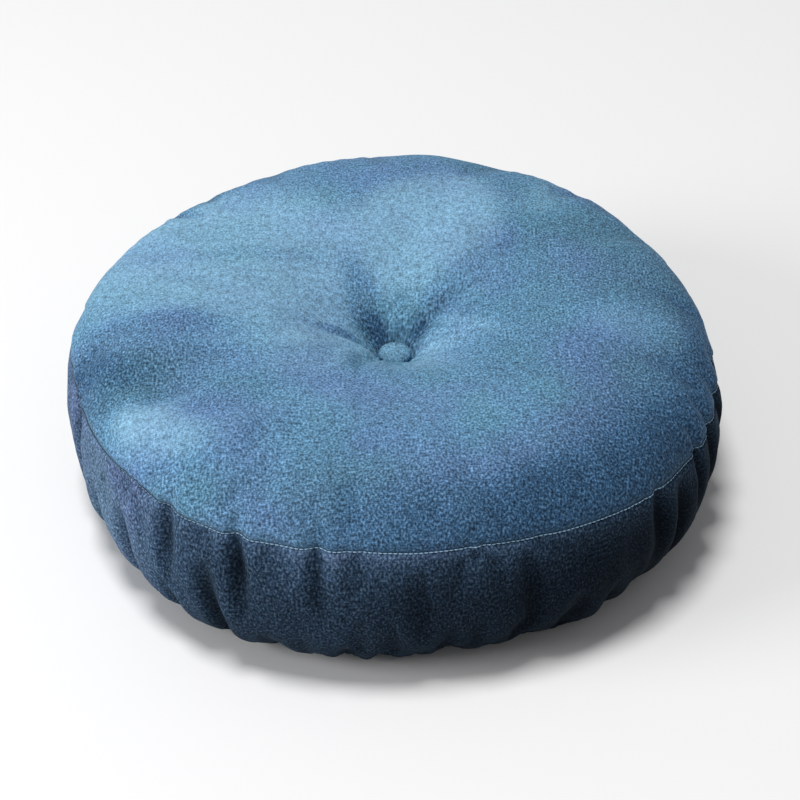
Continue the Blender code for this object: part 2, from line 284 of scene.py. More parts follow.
def groove(fromSeam):
    # A trough of grooveDepth on the seam: depth * exp(-(distance / half)^2)
    return seam["grooveDepth"] * np.exp(-(fromSeam / seam["grooveHalf"]) ** 2)


def lengthAlong(radius, height):
    # Distance along a section, from its first point
    steps = np.hypot(np.diff(radius), np.diff(height))
    return np.concatenate([[0.0], np.cumsum(steps)])


def pointsAt(reach, angle, height):
    return np.stack(np.broadcast_arrays(reach * np.cos(angle), reach * np.sin(angle), height), axis=-1)


def crownHeightShare(share):
    # Superellipse over the seam: (1 - share^flatness)^(1 / shoulder)
    return (1.0 - share ** cushion["crownFlatness"]) ** (1.0 / cushion["crownShoulder"])


def crownNormal(share):
    # Unit normal of that superellipse, outward and upward
    rise = cushion["crownHeight"] - cushion["seamHeight"]
    outward = cushion["crownFlatness"] * share ** (cushion["crownFlatness"] - 1.0) / cushion["seamRadius"]
    upward = cushion["crownShoulder"] * crownHeightShare(share) ** (cushion["crownShoulder"] - 1.0) / rise
    length = np.hypot(outward, upward)
    return outward / length, upward / length


def crownLength(share):
    # Distance along the crown's plain section from its middle out to share, read off a fine section
    fine = np.sin(np.linspace(0.0, math.pi / 2.0, cushion["crownSteps"]))
    rise = cushion["crownHeight"] - cushion["seamHeight"]
    along = lengthAlong(fine * cushion["seamRadius"], rise * crownHeightShare(fine))
    return np.interp(share, fine, along)


def topSurface(share, angle, inset=0.0):
    # The crown over the uneven seam, less the tuft and the folds; every part of it moves inwards by inset
    # along the section's normal
    share = share[:, None]
    radius = share * cushion["seamRadius"]
    seamLevel = cushion["seamHeight"] + waveSum(seamHeightWaves, angle)
    wave = cushion["crownWaveShare"] * share * (seamLevel - cushion["seamHeight"])
    level = seamLevel + (cushion["crownHeight"] + wave - seamLevel) * crownHeightShare(share)
    freeOfSeam = 1.0 - share ** seam["rimStraightening"]
    drop = tuftDip(radius) + foldDrop(topFolds, radius, angle) + foldDrop(fineFolds, radius, angle)
    level = level - freeOfSeam * drop
    nearSeam = smoothRise(1.0 - (cushion["seamRadius"] - radius) / seam["gatherReach"])
    reach = radius * outlineScale(angle) - nearSeam * puckerDepth(angle, 0.0)
    outward, upward = crownNormal(share)
    fromSeam = crownLength(1.0) - crownLength(share)
    outOfTuft = smoothRise((radius - tuft["floorRadius"]) / tuft["rippleReach"])
    proud = outOfTuft * ripples(topRipples, pointsAt(reach, angle, level))
    proud = proud - groove(fromSeam) - inset
    return pointsAt(reach + proud * outward, angle, level + proud * upward)


def baseSection(turn):
    # Quarter of an ellipse from the widest ring to the flat base: radius, height and unit normal
    width = cushion["radius"] - cushion["restingRadius"]
    radius = cushion["restingRadius"] + width * np.cos(turn)
    height = cushion["bulgeHeight"] * (1.0 - np.sin(turn))
    outward = np.cos(turn) / width
    upward = -np.sin(turn) / cushion["bulgeHeight"]
    length = np.hypot(outward, upward)
    return radius, height, outward / length, upward / length


def bandSection(share):
    # A parabola from the seam out to the bulge, then the curve of the base down to the bottom seam
    drop = share / cushion["bulgeShare"]
    spread = cushion["radius"] - cushion["seamRadius"]
    radius = cushion["seamRadius"] + spread * (1.0 - (1.0 - drop) ** 2)
    height = cushion["seamHeight"] + (cushion["bulgeHeight"] - cushion["seamHeight"]) * drop
    upper = (radius, height, np.ones_like(share), np.zeros_like(share))
    turn = cushion["bottomSeamTurn"] * (drop - 1.0) * cushion["bulgeShare"] / (1.0 - cushion["bulgeShare"])
    lower = baseSection(np.maximum(turn, 0.0))
    return [np.where(share > cushion["bulgeShare"], low, high) for low, high in zip(lower, upper)]


def sideSurface(section, share, angle, fromTop, fromBottom, inset=0.0, gather=1.0):
    # A section of the side carried round the outline, less its puckers and the grooves of its two seams
    radius, height, outward, upward = [part[:, None] for part in section]
    share = share[:, None]
    pull = gather * puckerDepth(angle, share)
    waveShare = smoothRise(1.0 - share / cushion["bulgeShare"])
    reach = radius * outlineScale(angle) - pull * outward
    level = height + waveShare * waveSum(seamHeightWaves, angle) - pull * upward
    proud = blendedRipples(share, pointsAt(reach, angle, level))
    proud = proud - groove(fromTop[:, None]) - groove(fromBottom[:, None])
    reach = reach + (proud - inset) * outward
    level = level + (proud - inset) * upward
    return pointsAt(reach, angle, np.maximum(level, inset * np.abs(upward)))


def blendedRipples(share, points):
    # The top panel's ripples at the seam give way to the band's further down
    below = smoothRise(share / seam["rippleBlend"])
    return (1.0 - below) * ripples(topRipples, points) + below * ripples(bandRipples, points)


def ringQuads(count, columns):
    # Quads between count rings of columns points each, ring after ring
    row = np.arange(count - 1)[:, None]
    column = np.arange(columns)[None, :]
    after = (column + 1) % columns
    here, below = row * columns, (row + 1) * columns
    return np.stack([here + column, below + column, below + after, here + after], axis=-1).reshape(-1, 4)


def closedMesh(name, grid):
    # A closed body from rings of points, with one middle point at either end
    count, columns = grid.shape[:2]
    quads = ringQuads(count, columns)
    first, last = count * columns, count * columns + 1
    ends = (count - 1) * columns
    caps = [(first, i, (i + 1) % columns) for i in range(columns)]
    caps += [(last, ends + (i + 1) % columns, ends + i) for i in range(columns)]
    middles = np.stack([grid[0].mean(axis=0), grid[-1].mean(axis=0)])
    points = np.concatenate([grid.reshape(-1, 3), middles])
    mesh = bpy.data.meshes.new(name)
    mesh.from_pydata(points.tolist(), [], quads.tolist() + caps)
    mesh.shade_smooth()
    return mesh


def gridMesh(name, grid, flat, marks):
    # That closed body with the map of its cut cloth and its marks. flat holds each corner's place on the cut
    # cloth, one column more than the grid, so that it can wrap.
    mesh = closedMesh(name, grid)
    columns = grid.shape[1]
    corners = np.stack([flat[:-1, :-1], flat[1:, :-1], flat[1:, 1:], flat[:-1, 1:]], axis=2).reshape(-1, 2)
    first, last = flat[0], flat[-1]
    topMiddle, endMiddle = [np.broadcast_to(ring.mean(axis=0), (columns, 2)) for ring in (first, last)]
    topCap = np.stack([topMiddle, first[:-1], first[1:]], axis=1)
    endCap = np.stack([endMiddle, last[1:], last[:-1]], axis=1)
    corners = np.concatenate([corners, topCap.reshape(-1, 2), endCap.reshape(-1, 2)])
    layer = mesh.uv_layers.new(name="cutCloth")
    layer.uv.foreach_set("vector", corners.astype(np.float32).ravel())

    for key, values in marks.items():
        ringed = np.concatenate([values.ravel(), [values[0].mean(), values[-1].mean()]])
        mesh.attributes.new(key, "FLOAT", "POINT").data.foreach_set("value", ringed.astype(np.float32))
    return mesh


def newObject(name, data):
    item = bpy.data.objects.new(name, data)
    bpy.context.collection.objects.link(item)
    return item


def addPiece(name, mesh, material, replaced=None):
    # A finished piece at the origin that rides on the one body; it can stand for a node of the part
    mesh.materials.append(material)
    piece = newObject(name, mesh)
    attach(piece, "root")
    if replaced:
        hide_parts(replaced)
    return piece


def srgb(code):
    # Hex colour to linear red, green, blue and alpha
    parts = [int(code[i:i + 2], 16) / 255.0 for i in (1, 3, 5)]
    return tuple(c / 12.92 if c <= 0.04045 else ((c + 0.055) / 1.055) ** 2.4 for c in parts) + (1.0,)


def newMaterial(name):
    material = bpy.data.materials.new(name)
    material.use_nodes = True
    tree = material.node_tree
    return material, tree, tree.nodes["Principled BSDF"]


def addNode(tree, kind, inputs=None, **settings):
    # One node with its settings; an input that is a socket is linked, and any other is set
    node = tree.nodes.new(kind)
    for key, value in settings.items():
        setattr(node, key, value)
    for key, value in (inputs or {}).items():
        if isinstance(value, bpy.types.NodeSocket):
            tree.links.new(value, node.inputs[key])
        else:
            node.inputs[key].default_value = value
    return node


# Brushed polyester chenille: short dense pile, so it has no gloss but a pale bloom at grazing angles, a
# salt-and-pepper speckle where tufts stand or lie, and soft patches of painted light and shade. A Span is
# the range of painted shading or of a noise over which something changes, and a Power makes a noise
# lopsided.
panelPlush = {
    "teal": "#537f9a",
    "periwinkle": "#587aa2",
    "hueMm": 80,
    "hueSpan": (0.35, 0.65),
    # Painted shade and painted light: the pile's colours where it is painted dark and where it is painted
    # light
    "shadedPile": "#4779a8",
    "shadedPileSpan": (-0.65, -0.25),
    "paintedLightPile": "#8ab5ce",
    "pileTips": "#7793a8",
    "tipSpan": (0.5, 0.75),
    "tipShare": 0.5,
    "tipShadingSpan": (-0.7, 0.1),
    "paintedLightTipShare": 0.25,
    "speckleMm": 1.6,
    "grainStretch": 0.75,
    "speckleShadingSpan": (-0.7, 0.5),
    "shadedPower": 2.1,
    "paintedLightPower": 0.75,
    "mottleMm": 5.0,
    "mottlePower": 0.45,
    "cloudMm": 60,
    "cloudSpan": (0.3, 0.7),
    "cloudContrast": 0.08,
    "rowMm": 1.7,
    "rowContrast": 0.10,
    "rowWobbleMm": 9.0,
    "rowWobble": 5.0,
    "pileMm": 0.35,
    "pileStrength": 0.4,
    "sheen": 0.15,
    "sheenTint": "#a9cde6",
    "sheenRoughness": 0.4,
    "gloss": 0.2,
    "roughness": 0.95,
}


def plushMaterial(name, look):
    # The colour lies between two blues: deeper where the pile is painted dark, paler where it is painted
    # light, greyer at the tips. It is multiplied by the light of speckle, mottle, thread rows, clouds and
    # the painted light and shade.
    material, tree, shader = newMaterial(name)
    cloth = addNode(tree, "ShaderNodeUVMap", uv_map="cutCloth").outputs["UV"]
    place = addNode(tree, "ShaderNodeTexCoord").outputs["Object"]
    # Painted light and shade that each piece carries, from -1 (black) through 0 (even) to 1 (palest)
    paintedShading = addNode(tree, "ShaderNodeAttribute", attribute_name="paintedShading").outputs["Fac"]
    grain = {0: cloth, 1: (1.0, look["grainStretch"], 1.0)}
    stretched = addNode(tree, "ShaderNodeVectorMath", grain, operation="MULTIPLY").outputs[0]
    noises = [
        ("speckle", stretched, "2D", 2.0),
        ("mottle", cloth, "2D", 2.0),
        ("hue", place, "3D", 2.0),
        ("cloud", place, "3D", 2.0),
        ("rowWobble", cloth, "2D", 1.0),
    ]
    noise = {}
    for key, vector, dimensions, detail in noises:
        inputs = {"Vector": vector, "Scale": 1000.0 / look[key + "Mm"], "Detail": detail}
        noise[key] = addNode(tree, "ShaderNodeTexNoise", inputs, noise_dimensions=dimensions).outputs["Fac"]

    # Rows of thread: the sine of 2 pi y / row, with a wobble
    across = addNode(tree, "ShaderNodeSeparateXYZ", {"Vector": cloth}).outputs["Y"]
    inputs = {0: noise["rowWobble"], 1: look["rowWobble"]}
    wobble = addNode(tree, "ShaderNodeMath", inputs, operation="MULTIPLY").outputs[0]
    inputs = {0: across, 1: 2000.0 * math.pi / look["rowMm"], 2: wobble}
    turns = addNode(tree, "ShaderNodeMath", inputs, operation="MULTIPLY_ADD").outputs[0]
    threadRow = addNode(tree, "ShaderNodeMath", {0: turns}, operation="SINE").outputs[0]

    # What changes with a value: over which span of it, and how much it is at either end
    rowLow, rowHigh = 1.0 - look["rowContrast"], 1.0 + look["rowContrast"]
    cloudLow, cloudHigh = 1.0 - look["cloudContrast"], 1.0 + look["cloudContrast"]
    # Painted light and shade: below 0 the shading darkens the light and turns the colour deeper, above 0 it
    # turns the colour paler; it also sets how lopsided the speckle is and how many tips are grey
    changes = {
        "specklePower": (paintedShading, look["speckleShadingSpan"], look["shadedPower"], look["paintedLightPower"]),
        "row": (threadRow, (-1.0, 1.0), rowLow, rowHigh),
        "cloud": (noise["cloud"], look["cloudSpan"], cloudLow, cloudHigh),
        "paintedShading": (paintedShading, (-1.0, 0.0), 0.0, 1.0),
        "hue": (noise["hue"], look["hueSpan"], 0.0, 1.0),
        "shaded": (paintedShading, look["shadedPileSpan"], 1.0, 0.0),
        "paintedLight": (paintedShading, (0.0, 1.0), 0.0, 1.0),
        "speckleTips": (noise["speckle"], look["tipSpan"], 0.0, look["tipShare"]),
        "shadingTips": (paintedShading, look["tipShadingSpan"], 1.0, look["paintedLightTipShare"]),
    }
    level = {}
    for key, (value, span, start, end) in changes.items():
        inputs = {"Value": value, "From Min": span[0], "From Max": span[1], "To Min": start, "To Max": end}
        level[key] = addNode(tree, "ShaderNodeMapRange", inputs).outputs["Result"]

    # (2 * noise)^power, which is 1 where the noise is even and more lopsided as the power grows
    for key, power in (("speckle", level["specklePower"]), ("mottle", look["mottlePower"])):
        double = addNode(tree, "ShaderNodeMath", {0: noise[key], 1: 2.0}, operation="MULTIPLY").outputs[0]
        level[key] = addNode(tree, "ShaderNodeMath", {0: double, 1: power}, operation="POWER").outputs[0]

    light = level["speckle"]
    for key in ("mottle", "row", "cloud", "paintedShading"):
        light = addNode(tree, "ShaderNodeMath", {0: light, 1: level[key]}, operation="MULTIPLY").outputs[0]
    inputs = {0: level["speckleTips"], 1: level["shadingTips"]}
    level["tips"] = addNode(tree, "ShaderNodeMath", inputs, operation="MULTIPLY").outputs[0]
    pile = srgb(look["teal"])
    layers = {"hue": "periwinkle", "shaded": "shadedPile", "paintedLight": "paintedLightPile", "tips": "pileTips"}
    for key, code in layers.items():
        inputs = {"Factor": level[key], "A": pile, "B": srgb(look[code])}
        pile = addNode(tree, "ShaderNodeMix", inputs, data_type="RGBA").outputs["Result"]
    colour = addNode(tree, "ShaderNodeVectorMath", {0: pile, "Scale": light}, operation="SCALE")
    inputs = {"Height": noise["speckle"], "Strength": look["pileStrength"],
              "Distance": 0.001 * look["pileMm"]}
    relief = addNode(tree, "ShaderNodeBump", inputs)
    tree.links.new(colour.outputs[0], shader.inputs["Base Color"])
    tree.links.new(relief.outputs["Normal"], shader.inputs["Normal"])
    shader.inputs["Roughness"].default_value = look["roughness"]
    shader.inputs["Specular IOR Level"].default_value = look["gloss"]
    shader.inputs["Sheen Weight"].default_value = look["sheen"]
    shader.inputs["Sheen Roughness"].default_value = look["sheenRoughness"]
    shader.inputs["Sheen Tint"].default_value = srgb(look["sheenTint"])
    return material


# Painted light and shade on the top panel: where it is painted lighter or darker, as light falls on its
# slopes and hollows. Each patch: its place from the cushion's middle, half sizes, turn, lightness (-1 is
# black, 0 even, 1 palest) and how firm its edge is
paintedShadingColumns = ("xMm", "yMm", "halfXMm", "halfYMm", "turnDeg", "amount", "firmness")
paintedShadingPatches = [
    (260, 60, 150, 190, 0, -0.26, 1.5),
    (222, -185, 205, 96, 50, -0.82, 1.6),
    (258, -50, 125, 46, 90, -0.66, 1.5),
    (42, -252, 145, 68, 0, -0.50, 1.5),
    (118, -205, 72, 32, 28, -0.66, 1.6),
    (-125, -212, 72, 36, -32, -0.20, 1.5),
    (-30, 245, 200, 56, 0, -0.04, 2.0),
    (-130, 70, 140, 104, -13, 0.48, 3.0),
    (-128, 69, 112, 10, 1, 0.26, 1.3),
    (-152, 188, 90, 26, 38, -0.34, 2.0),
    (24, 114, 82, 60, 54, 0.50, 4.0),
    (150, 122, 55, 50, 54, -0.14, 1.5),
    (122, 158, 42, 26, 50, 0.16, 1.5),
    (-150, -80, 72, 34, -5, -0.14, 1.5),
    (-245, -66, 68, 32, -8, -0.60, 1.5),
    (-212, -112, 46, 16, -60, -0.40, 1.5),
    (-166, -140, 46, 24, -36, 0.56, 1.5),
    (-182, -28, 62, 17, 4, -0.18, 1.5),
    (0, -112, 88, 34, 0, 0.08, 1.5),
    (-64, -56, 44, 28, 20, 0.22, 1.5),
    (172, -12, 36, 30, 0, 0.14, 1.5),
    (-58, -20, 36, 15, 32, 0.56, 1.5),
    (-4, -34, 54, 25, -22, 0.38, 1.5),
    (26, -14, 42, 18, 8, 0.28, 1.5),
    (62, 48, 50, 20, 36, 0.08, 1.5),
    (-21, 38, 38, 14, 110, -0.06, 1.3),
    (-13, 15, 20, 12, 130, -0.66, 1.15),
    (24, 19, 26, 9, 42, -0.50, 1.15),
    (5, 30, 18, 8, 84, 0.06, 1.2),
    (-33, -13, 22, 5, 25, 0.44, 1.2),
    (-26, -54, 28, 6, 97, -0.06, 1.2),
    (-38, -3, 20, 6, 2, -0.10, 1.2),
    (56, 2, 36, 7, -38, 0.24, 1.2),
]


def paintedShadingAt(points):
    # Each patch paints over the ones before it: the value moves towards amount by the weight
    # exp(-(elliptic distance from the middle)^(2 * firmness))
    total = np.zeros(points.shape[:-1])
    for patch in rows(paintedShadingColumns, paintedShadingPatches):
        turn = math.radians(patch["turnDeg"])
        x = points[..., 0] - 0.001 * patch["xMm"]
        y = points[..., 1] - 0.001 * patch["yMm"]
        along = (x * math.cos(turn) + y * math.sin(turn)) / (0.001 * patch["halfXMm"])
        across = (y * math.cos(turn) - x * math.sin(turn)) / (0.001 * patch["halfYMm"])
        weight = np.exp(-(along ** 2 + across ** 2) ** patch["firmness"])
        total += (patch["amount"] - total) * weight
    return total


# Painted light and shade on the folds: crests are painted paler and valleys darker, as light falls on
# them. Share of lightness for each millimetre on the panel and the band, the relief past which it changes
# no more, and the palest painted light
paintedFoldShading = {
    "panel": 0.09,
    "band": 0.115,
    "mostMm": 6.0,
    "palest": 0.9,
}


def crestShade(paintedShading, relief, part):
    # (1 + shading) * (1 + share * relief) - 1: painted shade in the valleys and painted light on the crests,
    # with the relief in millimetres and held within mostMm
    held = np.clip(1000.0 * relief, -paintedFoldShading["mostMm"], paintedFoldShading["mostMm"])
    return np.minimum((1.0 + paintedShading) * (1.0 + paintedFoldShading[part] * held) - 1.0, paintedFoldShading["palest"])


# The button's middle, which all the surfaces turn about
buttonLow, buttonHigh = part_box("tuft_button")
middle = np.array([(buttonLow[0] + buttonHigh[0]) / 2.0, (buttonLow[1] + buttonHigh[1]) / 2.0, 0.0])
angles = sideAngles(cushion["columns"])
wrapped = np.append(angles, angles[0] + 2.0 * math.pi)
underSheet = cushion["clothThickness"] + cushion["gap"]

# Rings of each surface: how many, then places between the first and the last ring and the share of the way
# that each stands at. They lie closer together where the surface turns most. turnRings are those from the
# bottom seam to the flat underside.
edge = cushion["gap"] / cushion["bandLength"]
rings = {
    "top": (122, (0, 0.30, 0.82, 1), (0.030, 0.200, 0.900, 1.0)),
    "hidden": (36, (0, 0.40, 0.82, 1), (0.030, 0.230, 0.900, 1.0)),
    "side": (74, (0, 0.12, 0.90, 1), (edge, 0.06, 0.93, 1.0 - edge)),
    "cover": (54, (0, 0.25, 1), (0.060, 0.200, 1.0)),
}
turnRings = {"base": 14, "stuffing": 6, "cover": 5}


def ringShares(name):
    count, places, shares = rings[name]
    return np.interp(np.linspace(0, 1, count), places, shares)


topShares = ringShares("top")
hiddenShares = ringShares("hidden")


def discFlat(share):
    # Place on the flat disc: the distance along the section, in each ring's direction
    along = crownLength(share)[:, None]
    return np.stack([along * np.cos(wrapped), along * np.sin(wrapped)], axis=-1)


def bandDistances(share):
    # How far each ring of the band lies from the top and from the bottom seam
    along = share * cushion["bandLength"]
    return along, cushion["bandLength"] - along


def baseRings(around, inset, count):
    # Rings from the bottom seam round to the flat base and in to its middle, far from the top seam's groove
    turnShare = np.linspace(0.0, 1.0, count)
    inward = np.array(cushion["underSteps"])
    turn = cushion["bottomSeamTurn"] + (math.pi / 2.0 - cushion["bottomSeamTurn"]) * turnShare
    rolled = baseSection(turn)
    level = [np.repeat(part[-1:], len(inward)) for part in rolled]
    level[0] = level[0] - inward
    section = [np.concatenate([a, b[1:]]) for a, b in zip(rolled, level)]
    gather = np.concatenate([1.0 - turnShare, np.zeros(len(inward) - 1)])[:, None]
    fromBottom = lengthAlong(section[0], section[1])
    share = np.ones(len(gather))
    far = np.ones_like(share)
    points = sideSurface(section, share, around, far, fromBottom, inset, gather)
    return points, fromBottom


# The filling: the sewn cover is blown up from inside for a few frames, as cloth cut a little too wide. The
# spare width gathers into puckers between the seams, as it does on the real cushion.
filling = {
    "columns": 240,
    "bandRows": 24,
    "frames": 16,
    "substeps": 6,
    "pressure": 3.0,
    "bandSlack": 0.03,
    "panelSlack": 0.002,
    "rimSlack": 0.012,
    "rimFrom": 0.75,
    "seamHold": 0.6,
    "heldRings": 2,
    "pointMass": 0.1,
    "stretch": 30.0,
    "shear": 10.0,
    "bend": 4.0,
    "damping": 2.0,
    "slowWaves": 13,
    "mostMm": 5.0,
}


def rowWeights(cover, name, weights, columns):
    # A vertex group with one weight for each ring, and the last ring's for the two middle points
    group = cover.vertex_groups.new(name=name)
    for row, weight in enumerate(weights):
        group.add(list(range(row * columns, (row + 1) * columns)), float(weight), "REPLACE")
    group.add([len(weights) * columns, len(weights) * columns + 1], float(weights[-1]), "REPLACE")


def blowUp(grid, held, slack):
    # The cover as one closed body of cloth with pressure inside; gives how far its points have moved
    cover = newObject("cover", closedMesh("cover", grid))
    rowWeights(cover, "held", held, filling["columns"])
    rowWeights(cover, "tight", 1.0 - slack / filling["bandSlack"], filling["columns"])
    cloth = cover.modifiers.new("filling", "CLOTH")
    cloth.point_cache.frame_end = filling["frames"]
    cloth.collision_settings.use_collision = False
    settings = cloth.settings
    settings.quality = filling["substeps"]
    settings.mass = filling["pointMass"]
    settings.air_damping = filling["damping"]
    settings.tension_stiffness = filling["stretch"]
    settings.compression_stiffness = filling["stretch"]
    settings.shear_stiffness = filling["shear"]
    settings.bending_stiffness = filling["bend"]
    settings.use_pressure = True
    settings.uniform_pressure_force = filling["pressure"]
    settings.effector_weights.gravity = 0.0
    settings.vertex_group_mass = "held"
    settings.vertex_group_shrink = "tight"
    settings.shrink_min = -filling["bandSlack"]
    settings.shrink_max = 0.0
    for step in range(1, filling["frames"] + 1):
        bpy.context.scene.frame_set(step)
    filled = cover.evaluated_get(bpy.context.evaluated_depsgraph_get()).data
    points = np.empty(3 * len(filled.vertices), np.float32)
    filled.vertices.foreach_get("co", points)
    moves = points.reshape(-1, 3)[:-2].reshape(grid.shape) - grid
    coverMesh = cover.data
    bpy.data.objects.remove(cover)
    bpy.data.meshes.remove(coverMesh)
    bpy.context.scene.frame_set(1)
    return moves


def fillCover():
    # How far the filling moves the cover, for the rings of the panel and for those of the band from seam to
    # seam. Middle and base are held fast, the seams a little, and the band is cut widest. The band has no
    # grooves here, as if its seams were far off.
    around = sideAngles(filling["columns"])
    topShare = ringShares("cover")
    bandShare = np.linspace(0.0, 1.0, filling["bandRows"] + 2)
    inner = bandShare[1:-1]
    far = np.ones_like(inner)
    top = topSurface(topShare, around)
    band = sideSurface(bandSection(inner), inner, around, far, far)
    base, _ = baseRings(around, 0.0, turnRings["cover"])
    grid = np.concatenate([top, band, base])
    bandStart = len(top)
    baseStart = bandStart + len(band)

    held = np.zeros(len(grid))
    held[:filling["heldRings"]] = 1.0
    held[bandStart - 1] = filling["seamHold"]
    held[baseStart - 1] = filling["seamHold"]
    held[baseStart:] = 1.0
    nearRim = smoothRise((topShare - filling["rimFrom"]) / (1.0 - filling["rimFrom"]))
    slack = np.zeros(len(grid))
    slack[:bandStart] = filling["panelSlack"] + (filling["rimSlack"] - filling["panelSlack"]) * nearRim
    slack[bandStart:baseStart] = filling["bandSlack"]

    moves = blowUp(grid, held, slack)
    return {"top": (topShare, moves[:bandStart]), "band": (bandShare, moves[bandStart - 1:baseStart + 1])}


def filledMove(part, share, columns):
    # How far the filling moves the rings at these shares. Round the cushion the moves are read as waves less
    # the slow ones, so that the swelling as a whole goes and the folds stay. From ring to ring they follow a
    # Catmull-Rom curve, and most * tanh(move / most) caps them.
    shares, moves = coverMoves[part]
    waves = np.fft.rfft(moves, axis=1)
    waves[:, :filling["slowWaves"]] = 0.0
    moves = np.fft.irfft(waves, columns, axis=1) * (columns / moves.shape[1])
    place = np.interp(share, shares, np.arange(len(shares)))
    index = np.clip(np.floor(place).astype(int), 0, len(shares) - 2)
    t = (place - index)[:, None, None]
    a, b, c, d = [moves[np.clip(index + step, 0, len(shares) - 1)] for step in (-1, 0, 1, 2)]
    smooth = b + 0.5 * t * (c - a + t * (2.0 * a - 5.0 * b + 4.0 * c - d + t * (3.0 * (b - c) + d - a)))
    length = np.linalg.norm(smooth, axis=-1, keepdims=True) + 1e-9
    most = 0.001 * filling["mostMm"]
    return smooth * most * np.tanh(length / most) / length


def makeTopPanel():
    columns = cushion["columns"]
    faceMove = filledMove("top", topShares, columns)
    face = topSurface(topShares, angles) + faceMove
    underShares = hiddenShares[::-1]
    backMove = filledMove("top", underShares, columns)
    back = topSurface(underShares, angles, cushion["clothThickness"]) + backMove
    grid = np.concatenate([face, back]) + middle
    flat = np.concatenate([discFlat(topShares), discFlat(underShares)])
    # Painted light and shade: the top panel's patches, then its folds' crests painted paler and valleys
    # darker
    paintedShading = paintedShadingAt(grid)
    radius = topShares[:, None] * cushion["seamRadius"]
    relief = faceMove[..., 2] - foldDrop(fineFolds, radius, angles)
    paintedShading[:len(face)] = crestShade(paintedShading[:len(face)], relief, "panel")
    mesh = gridMesh("topPanel", grid, flat, {"paintedShading": paintedShading})
    plush = plushMaterial("brushedChenilleTop", panelPlush)
    panel = addPiece("topPanel", mesh, plush, "top_panel")


# The same chenille where it runs round the side: greyer and more violet in the cushion's own shade, and with
# almost no bloom
bandPlush = {
    **panelPlush,
    "teal": "#59748e",
    "periwinkle": "#5e6f97",
    "shadedPile": "#4f6e92",
    "pileTips": "#7d93a4",
    "shadedPower": 1.9,
    "paintedLightPower": 1.1,
    "sheen": 0.06,
    "gloss": 0.05,
}

# Painted light and shade on the side: how light it is painted round the cushion, at the top seam and further
# down, as light falls on it
sidePaintedShadingColumns = ("atDeg", "upper", "lower")
sidePaintedShading = [
    (-180, -0.30, -0.42),
    (-165, -0.27, -0.36),
    (-150, -0.14, -0.20),
    (-140, -0.28, -0.30),
    (-130, -0.50, -0.62),
    (-120, -0.58, -0.82),
    (-110, -0.50, -0.80),
    (-100, -0.30, -0.81),
    (-90, -0.34, -0.89),
    (-75, -0.50, -0.925),
    (-60, -0.67, -0.955),
    (-40, -0.79, -0.965),
    (-20, -0.86, -0.965),
    (0, -0.86, -0.98),
    (40, -0.50, -0.80),
    (90, -0.40, -0.66),
    (140, -0.30, -0.52),
]

# Down the side the painted shading goes from upper to lower within fade, and the foot is painted darker by a
# share, a painted shadow near the floor. All are shares of the way from seam to seam.
sideShade = {
    "fade": 0.12,
    "footFrom": 0.45,
    "footReach": 0.4,
    "paintedFootShadow": 0.42,
}


def sidePaintedShadingAt(angle, share):
    # Between the table's angles the painted shading is read on straight lines. Light = 1 + upper + (lower -
    # upper) * (1 - exp(-share / fade)), less the foot's share of painted shadow, and the shading = light -
    # 1.
    places = rows(sidePaintedShadingColumns, sidePaintedShading)
    degrees = [place["atDeg"] for place in places]
    upper, lower = [np.interp(np.degrees(angle), degrees, [place[key] for place in places], period=360.0)
                    for key in ("upper", "lower")]
    foot = sideShade["paintedFootShadow"] * smoothRise((share - sideShade["footFrom"]) / sideShade["footReach"])
    light = 1.0 + upper + (lower - upper) * (1.0 - np.exp(-share / sideShade["fade"]))
    return light * (1.0 - foot) - 1.0


def makeSideBand():
    share = ringShares("side")
    fromTop, fromBottom = bandDistances(share)
    columns = cushion["columns"]
    stuffingTop = topSurface(hiddenShares, angles, underSheet) + filledMove("top", hiddenShares, columns)
    faceMove = filledMove("band", share, columns)
    face = sideSurface(bandSection(share), share, angles, fromTop, fromBottom) + faceMove
    stuffingBase, baseLength = baseRings(angles, underSheet, turnRings["stuffing"])
    grid = np.concatenate([stuffingTop, face, stuffingBase]) + middle
    along = np.concatenate([crownLength(hiddenShares) - crownLength(1.0), fromTop, baseLength + fromTop[-1]])
    flat = np.stack(np.broadcast_arrays(wrapped * cushion["radius"], along[:, None]), axis=-1)
    down = np.concatenate([np.zeros(len(hiddenShares)), share, np.ones(len(baseLength))])[:, None]
    # Painted light and shade on the side, then the puckers' crests painted paler and their valleys darker
    paintedShading = sidePaintedShadingAt(angles, down)
    relief = faceMove[..., 0] * np.cos(angles) + faceMove[..., 1] * np.sin(angles)
    relief = relief - puckerDepth(angles, share[:, None])
    visible = slice(len(stuffingTop), len(stuffingTop) + len(face))
    paintedShading[visible] = crestShade(paintedShading[visible], relief, "band")
    mesh = gridMesh("sideBand", grid, flat, {"paintedShading": paintedShading})
    plush = plushMaterial("brushedChenilleSide", bandPlush)
    band = addPiece("sideBand", mesh, plush, "side_band")


# The same chenille under the cushion, pressed flat and painted as dark as the foot of the side, with its
# painted shadow
basePlush = {**bandPlush}


def makeBottomPanel():
    outside, length = baseRings(angles, 0.0, turnRings["base"])
    inside, _ = baseRings(angles, cushion["clothThickness"], turnRings["base"])
    grid = np.concatenate([inside[::-1], outside]) + middle
    middleRing = cushion["restingRadius"] - cushion["underSteps"][-1]
    radius = length[-1] + middleRing - length
    flat = np.stack([radius[:, None] * np.cos(wrapped), radius[:, None] * np.sin(wrapped)], axis=-1)
    flat = np.concatenate([flat[::-1], flat])
    # Painted shade: the base is painted like the foot of the side, with the painted shadow there
    mesh = gridMesh("bottomPanel", grid, flat, {"paintedShading": sidePaintedShadingAt(angles, np.ones((len(grid), 1)))})
    plush = plushMaterial("brushedChenilleBase", basePlush)
    panel = addPiece("bottomPanel", mesh, plush, "bottom_panel")


